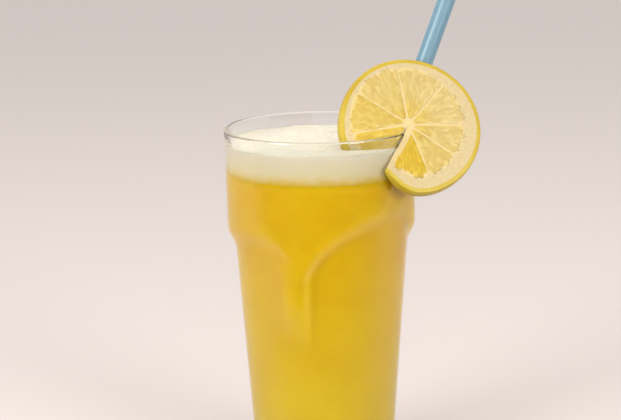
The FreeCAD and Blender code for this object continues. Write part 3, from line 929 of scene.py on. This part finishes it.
def juiceSac():
    # one juice sac: a wet clear skin over yellow juice, each a little lighter or darker
    material, add, shader = startMaterial("wetJuiceSac")
    backlitYellow = add("ShaderNodeAttribute", attribute_name="paintedBacklitYellow")
    tone = add("ShaderNodeAttribute", attribute_name="tone")
    pale = add(
        "ShaderNodeValToRGB", {"Fac": tone.outputs["Fac"]},
        stops=[(0.0, "#B49D64"), (0.6, "#BAA56C"), (1.0, "#C2AF78")],
    )
    deep = add(
        "ShaderNodeValToRGB", {"Fac": tone.outputs["Fac"]},
        stops=[(0.0, "#B49322"), (0.6, "#BA9B2A"), (1.0, "#C0A43C")],
    )
    # painted backlight: the sacs follow the flesh's segments, paler where light would shine through from
    # behind
    juiceWithBacklight = add(
        "ShaderNodeMix",
        {0: backlitYellow.outputs["Fac"], 6: pale.outputs["Color"], 7: deep.outputs["Color"]}, data_type="RGBA",
    )
    fillSockets(shader, {
        "Base Color": juiceWithBacklight.outputs[2], "Roughness": 0.28, "IOR": 1.36, "Subsurface Weight": 0.1,
        "Subsurface Radius": (1.0, 0.75, 0.25), "Subsurface Scale": 0.3 * mm,
    })
    return material


lemonSlice = makeSlice()
sacPlan = {
    "spacing": 1.25 * mm, "crowding": 3e6, "smallest": 2.4 * mm, "largest": 5.6 * mm, "skew": 1.0,
    "stretch": (1.0, 0.36, 0.07), "taper": 0.9, "sink": 0.015, "seed": 5, "material": juiceSac(),
}
sacs = scatterOver(lemonSlice, "lemonJuiceSacs", sacPlan)
settle(sacs, None)

fillPlan = {
    "intoWall": 0.35 * mm,
    "foamIntoWall": 0.42 * mm,
    "foamBase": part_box("foam")[0].z,
    "foamTop": 143.8 * mm,
    "foamLap": 1.1 * mm,
    "edgeRise": 0.5 * mm,
    "edgeWidth": 2.2 * mm,
    # small lumps of the foam: rise, size and layer of the noise
    "lumps": [(0.28 * mm, 6 * mm, 0), (0.13 * mm, 1.8 * mm, 0.02)],
    # how far the foam climbs the straw and the slice, and how soon that fades
    "climb": 0.7 * mm,
    "climbFade": 1.1 * mm,
    # share of the lap by which the foam draws in at its foot
    "footSlant": 0.2,
    "bareEdge": 1.2 * mm,
    "drinkStep": 4 * mm,
    "foamWallStep": 1 * mm,
    "foamTopStep": 0.55 * mm,
    "stepsRound": 200,
    # mounds of foam: across, deep, half width, half depth and rise
    "mounds": [
        (-4 * mm, 19 * mm, 13 * mm, 9 * mm, 0.9 * mm),
        (-17 * mm, -6 * mm, 11 * mm, 12 * mm, 0.6 * mm),
        (5 * mm, -14 * mm, 12 * mm, 8 * mm, 0.5 * mm),
    ],
}


def spin(profile, steps, place=None):
    # points and faces of a profile turned round the axis; its ends lie on the axis
    points, faces = [], []
    for step in range(steps):
        angle = 2 * math.pi * step / steps
        for radius, height in profile:
            x, y = radius * math.sin(angle), -radius * math.cos(angle)
            points.append((x, y, place(x, y, radius, height) if place else height))
    rows = len(profile)
    for step in range(steps):
        after = (step + 1) % steps
        for row in range(rows - 1):
            here, there = step * rows + row, after * rows + row
            faces.append((here, here + 1, there + 1, there))
    return points, faces


def cloudyCitrusDrink():
    # citrus drink clouded with pulp: opaque yellow that glows a little, slightly mottled
    material, add, shader = startMaterial("cloudyCitrusDrink")
    place = add("ShaderNodeTexCoord").outputs["Object"]
    clouds = add(
        "ShaderNodeTexNoise",
        {"Vector": place, "Scale": 1 / (22 * mm), "Detail": 3.0, "Roughness": 0.55},
    )
    parts = add("ShaderNodeSeparateXYZ", [place])
    height = add(
        "ShaderNodeMapRange",
        {"Value": parts.outputs["Z"], "From Min": 30 * mm, "From Max": fillPlan["foamBase"]},
    )
    upper = add(
        "ShaderNodeValToRGB", {"Fac": clouds},
        stops=[(0.3, "#F0C008"), (0.5, "#F3C60A"), (0.7, "#F5CC10")],
    )
    lower = add(
        "ShaderNodeValToRGB", {"Fac": clouds},
        stops=[(0.3, "#E4C40C"), (0.5, "#E7C810"), (0.7, "#EACD18")],
    )
    colour = add(
        "ShaderNodeMix",
        {0: height, 6: lower.outputs["Color"], 7: upper.outputs["Color"]}, data_type="RGBA",
    )
    fillSockets(shader, {
        "Base Color": colour.outputs[2], "Roughness": 0.5, "Specular IOR Level": 0.1,
        "Subsurface Weight": 0.3, "Subsurface Radius": (1.0, 0.7, 0.1), "Subsurface Scale": 3 * mm,
    })
    return material


def wetCitrusFoam():
    # fine wet foam: cream on top, taking up the drink's yellow towards its base
    material, add, shader = startMaterial("wetCitrusFoam")
    place = add("ShaderNodeTexCoord").outputs["Object"]
    parts = add("ShaderNodeSeparateXYZ", [place])
    ragged = add("ShaderNodeTexNoise", {"Vector": place, "Scale": 1 / (5 * mm), "Detail": 4.0})
    uneven = add("ShaderNodeMath", [ragged, 3.0 * mm, parts.outputs["Z"]], operation="MULTIPLY_ADD")
    low = fillPlan["foamBase"] - fillPlan["foamLap"] + 1.5 * mm
    height = add(
        "ShaderNodeMapRange",
        {"Value": uneven, "From Min": low, "From Max": fillPlan["foamTop"] + 1.5 * mm},
    )
    colour = add(
        "ShaderNodeValToRGB", {"Fac": height},
        stops=[(0.0, "#EFC414"), (0.12, "#EDCC58"), (0.24, "#EFDA98"), (0.42, "#F4E8C6"), (0.92, "#F3E9D4")],
    )
    bubbles = add("ShaderNodeTexVoronoi", {"Vector": place, "Scale": 1 / (0.9 * mm)})
    bump = add("ShaderNodeBump", {"Height": bubbles, "Strength": 0.4, "Distance": 0.3 * mm})
    fillSockets(shader, {
        "Base Color": colour, "Normal": bump, "Roughness": 0.5, "IOR": 1.34, "Subsurface Weight": 0.5,
        "Subsurface Radius": (1.0, 0.85, 0.6), "Subsurface Scale": 2.5 * mm,
    })
    return material


def makeDrink():
    plan, lap = fillPlan, fillPlan["intoWall"]
    bottom = glassPlan["floorHeight"] - lap
    top = plan["foamBase"]
    floorEdge = (innerRadius(bottom) + lap, bottom)
    topEdge = (innerRadius(top) + lap, top)
    floor = cornerArc((0, bottom), floorEdge, topEdge, glassPlan["floorRound"], glassPlan["floorSteps"])
    profile = [(0, bottom), (floor[0][0] * 0.5, bottom)] + floor
    profile += straightRun(floor[-1], topEdge, plan["drinkStep"]) + [topEdge]
    profile += straightRun(topEdge, (0, top), plan["drinkStep"]) + [(0, top)]
    points, faces = spin(profile, plan["stepsRound"])
    drink = makePiece("citrusDrink", points, faces, [cloudyCitrusDrink()])
    closeUp(drink)
    settle(drink, "drink")


def strawDistance(x, y, height):
    # distance from a point to the straw's surface
    point = Vector((x, y, height)) - strawPlan["foot"]
    return (point - strawAxis * point.dot(strawAxis)).length - strawPlan["radius"]


def sliceDistance(x, y, height):
    # distance from a point to the slice
    local = sliceTurned.transposed() @ (Vector((x, y, height)) - slicePlan["centre"])
    sideways = max(0, math.hypot(local.x, local.y) - slicePlan["radius"])
    return math.hypot(sideways, max(0, abs(local.z) - slicePlan["thickness"] / 2))


def foamHeight(x, y, radius, height):
    # the top is uneven, and climbs the wall, the straw and the slice a little
    plan = fillPlan
    if height < plan["foamTop"]:
        return height
    edge = innerRadius(plan["foamTop"])
    lift = plan["edgeRise"] * smooth((radius - edge + plan["edgeWidth"]) / plan["edgeWidth"])
    for across, deep, halfWidth, halfDepth, rise in plan["mounds"]:
        off = ((x - across) / halfWidth) ** 2 + ((y - deep) / halfDepth) ** 2
        lift += rise * smooth(1 - off)
    for rise, lump, layer in plan["lumps"]:
        lift += rise * noise.noise(Vector((x, y, layer)) / lump)
    near = min(strawDistance(x, y, height), sliceDistance(x, y, height))
    lift += plan["climb"] * math.exp(-max(near, 0) / plan["climbFade"])
    return plan["foamTop"] + lift


def makeFoam():
    plan, lap = fillPlan, fillPlan["foamIntoWall"]
    low, top = plan["foamBase"] - plan["foamLap"], plan["foamTop"]
    hidden = innerRadius(low) + plan["intoWall"] - plan["foamLap"] * plan["footSlant"]
    lapEdge = (innerRadius(plan["foamBase"]) + lap, plan["foamBase"])
    topEdge = (innerRadius(top) + lap, top)
    profile = [(0, low), (hidden * 0.5, low), (hidden - plan["foamWallStep"], low), (hidden, low), lapEdge]
    profile += straightRun(lapEdge, topEdge, plan["foamWallStep"]) + [topEdge]
    profile += straightRun(topEdge, (0, top), plan["foamTopStep"]) + [(0, top)]
    points, faces = spin(profile, plan["stepsRound"], foamHeight)
    foam = makePiece("citrusFoam", points, faces, [wetCitrusFoam()])
    edge = innerRadius(top) - plan["bareEdge"]
    onTop = [
        1.0 if point[2] >= top and math.hypot(point[0], point[1]) < edge else 0.0 for point in points
    ]
    storePoints(foam, "scatterHere", onTop)
    closeUp(foam)
    settle(foam, "foam")
    return foam


def foamBubble():
    # thin wet bubble on the foam: pale and glossy
    material, add, shader = startMaterial("wetFoamBubble")
    tone = add("ShaderNodeAttribute", attribute_name="tone")
    colour = add(
        "ShaderNodeValToRGB", {"Fac": tone.outputs["Fac"]},
        stops=[(0.0, "#F0E4C4"), (1.0, "#FCF6E4")],
    )
    fillSockets(shader, {
        "Base Color": colour, "Roughness": 0.15, "IOR": 1.34, "Subsurface Weight": 0.4,
        "Subsurface Radius": (1.0, 0.85, 0.6), "Subsurface Scale": 1.5 * mm,
    })
    return material


makeDrink()
foam = makeFoam()
bubblePlan = {
    "spacing": 1.3 * mm, "crowding": 6e5, "smallest": 0.5 * mm, "largest": 1.7 * mm, "skew": 3.0,
    "stretch": (1.0, 1.0, 0.8), "taper": 0.0, "sink": 0.22, "seed": 3, "material": foamBubble(),
}
bubbles = scatterOver(foam, "foamBubbles", bubblePlan)
settle(bubbles, None)

stagePlan = {
    "floorHalf": 8.0,
    "floorColour": "#D8CDC9",
    "worldColour": "#FFFEFC",
    "worldStrength": 0.86,
    # a card on the floor in front, pale at its near edge and soon black: painted shade standing in for
    # the light falling off over the floor in front, so that the front of the glass mirrors little
    "cardNear": -0.045,
    "cardFar": -2.5,
    "cardHalf": 1.2,
    "cardShades": [(0.0, "#D8CDC9"), (0.2, "#A79F9B"), (0.5, "#7A7470"), (0.8, "#403D3B"), (1.0, "#161514")],
    "cardFade": 0.23,
    "lights": [
        # name, place, aimed at, width and depth, watts, colour
        ("overhead", (0.0, 0.1, 0.85), (0, 0.1, 0.0), (0.7, 0.7), 1.3, "#FFFDFC"),
        ("left", (-0.85, -0.8, 0.38), (0, 0, 0.1), (0.5, 0.5), 12.5, "#FFFEFA"),
        ("right", (0.8, -0.9, 0.38), (0, 0, 0.1), (0.5, 0.5), 10.5, "#FFFCF8"),
    ],
}

cameraPlan = {
    "aimAt": Vector((-4.43, 0, 114.76)) * mm,
    "distance": 717.07 * mm,
    "pitch": math.radians(12.448),
    "roll": math.radians(0.938),
    "lens": 100,
}


def makeStage():
    half = stagePlan["floorHalf"]
    corners = [(-half, -half, 0), (half, -half, 0), (half, half, 0), (-half, half, 0)]
    material, add, shader = startMaterial("paleStudioFloor")
    fillSockets(shader, {"Base Color": toLinear(stagePlan["floorColour"]), "Roughness": 0.7})
    floor = makePiece("floor", corners, [(0, 1, 2, 3)], [material])
    wide, near, far = stagePlan["cardHalf"], stagePlan["cardNear"], stagePlan["cardFar"]
    corners = [(-wide, far, mm), (wide, far, mm), (wide, near, mm), (-wide, near, mm)]
    material, add, shader = startMaterial("graduatedCard")
    place = add("ShaderNodeTexCoord").outputs["Object"]
    parts = add("ShaderNodeSeparateXYZ", [place])
    away = add(
        "ShaderNodeMapRange",
        {"Value": parts.outputs["Y"], "From Min": near, "From Max": near - stagePlan["cardFade"]},
    )
    # painted shade: the card darkens away from its near edge, seen only in reflections
    shade = add("ShaderNodeValToRGB", {"Fac": away}, stagePlan["cardShades"])
    fillSockets(shader, {"Base Color": shade, "Roughness": 0.9, "Specular IOR Level": 0.1})
    side = add("ShaderNodeNewGeometry")
    clear = add("ShaderNodeBsdfTransparent")
    oneSided = add("ShaderNodeMixShader", [side.outputs["Backfacing"], shader, clear])
    fillSockets(material.node_tree.get_output_node("ALL"), {"Surface": oneSided})
    card = makePiece("card", corners, [(0, 1, 2, 3)], [material])
    # the camera doesn't see it directly, it throws no shadow, and it is clear from below
    card.visible_camera = False
    card.visible_shadow = False
    world = bpy.data.worlds.new("studio")
    world.use_nodes = True
    bpy.context.scene.world = world
    background = world.node_tree.nodes["Background"]
    background.inputs["Color"].default_value = toLinear(stagePlan["worldColour"])
    background.inputs["Strength"].default_value = stagePlan["worldStrength"]
    for name, place, aim, shape, watts, colour in stagePlan["lights"]:
        data = bpy.data.lights.new(name, "AREA")
        data.shape = "RECTANGLE"
        data.size, data.size_y = shape
        data.energy = watts
        data.color = toLinear(colour)[:3]
        lamp = addObject(name, data)
        lamp.location = place
        lamp.rotation_euler = (Vector(aim) - Vector(place)).to_track_quat("-Z", "Y").to_euler()
    bpy.context.scene.view_settings.view_transform = "Standard"


def makeCamera():
    plan = cameraPlan
    pitch, roll = plan["pitch"], plan["roll"]
    right = Vector((1, 0, 0))
    forward = Vector((0, math.cos(pitch), -math.sin(pitch)))
    upward = right.cross(forward)
    across = right * math.cos(roll) - upward * math.sin(roll)
    upright = upward * math.cos(roll) + right * math.sin(roll)
    data = bpy.data.cameras.new("camera")
    data.lens = plan["lens"]
    data.clip_start = 0.01
    camera = addObject("camera", data)
    turned = Matrix((across, upright, -forward)).transposed().to_4x4()
    camera.matrix_world = Matrix.Translation(plan["aimAt"] - forward * plan["distance"]) @ turned
    bpy.context.scene.camera = camera


makeStage()
makeCamera()
print("floor, card, lights and camera are set")
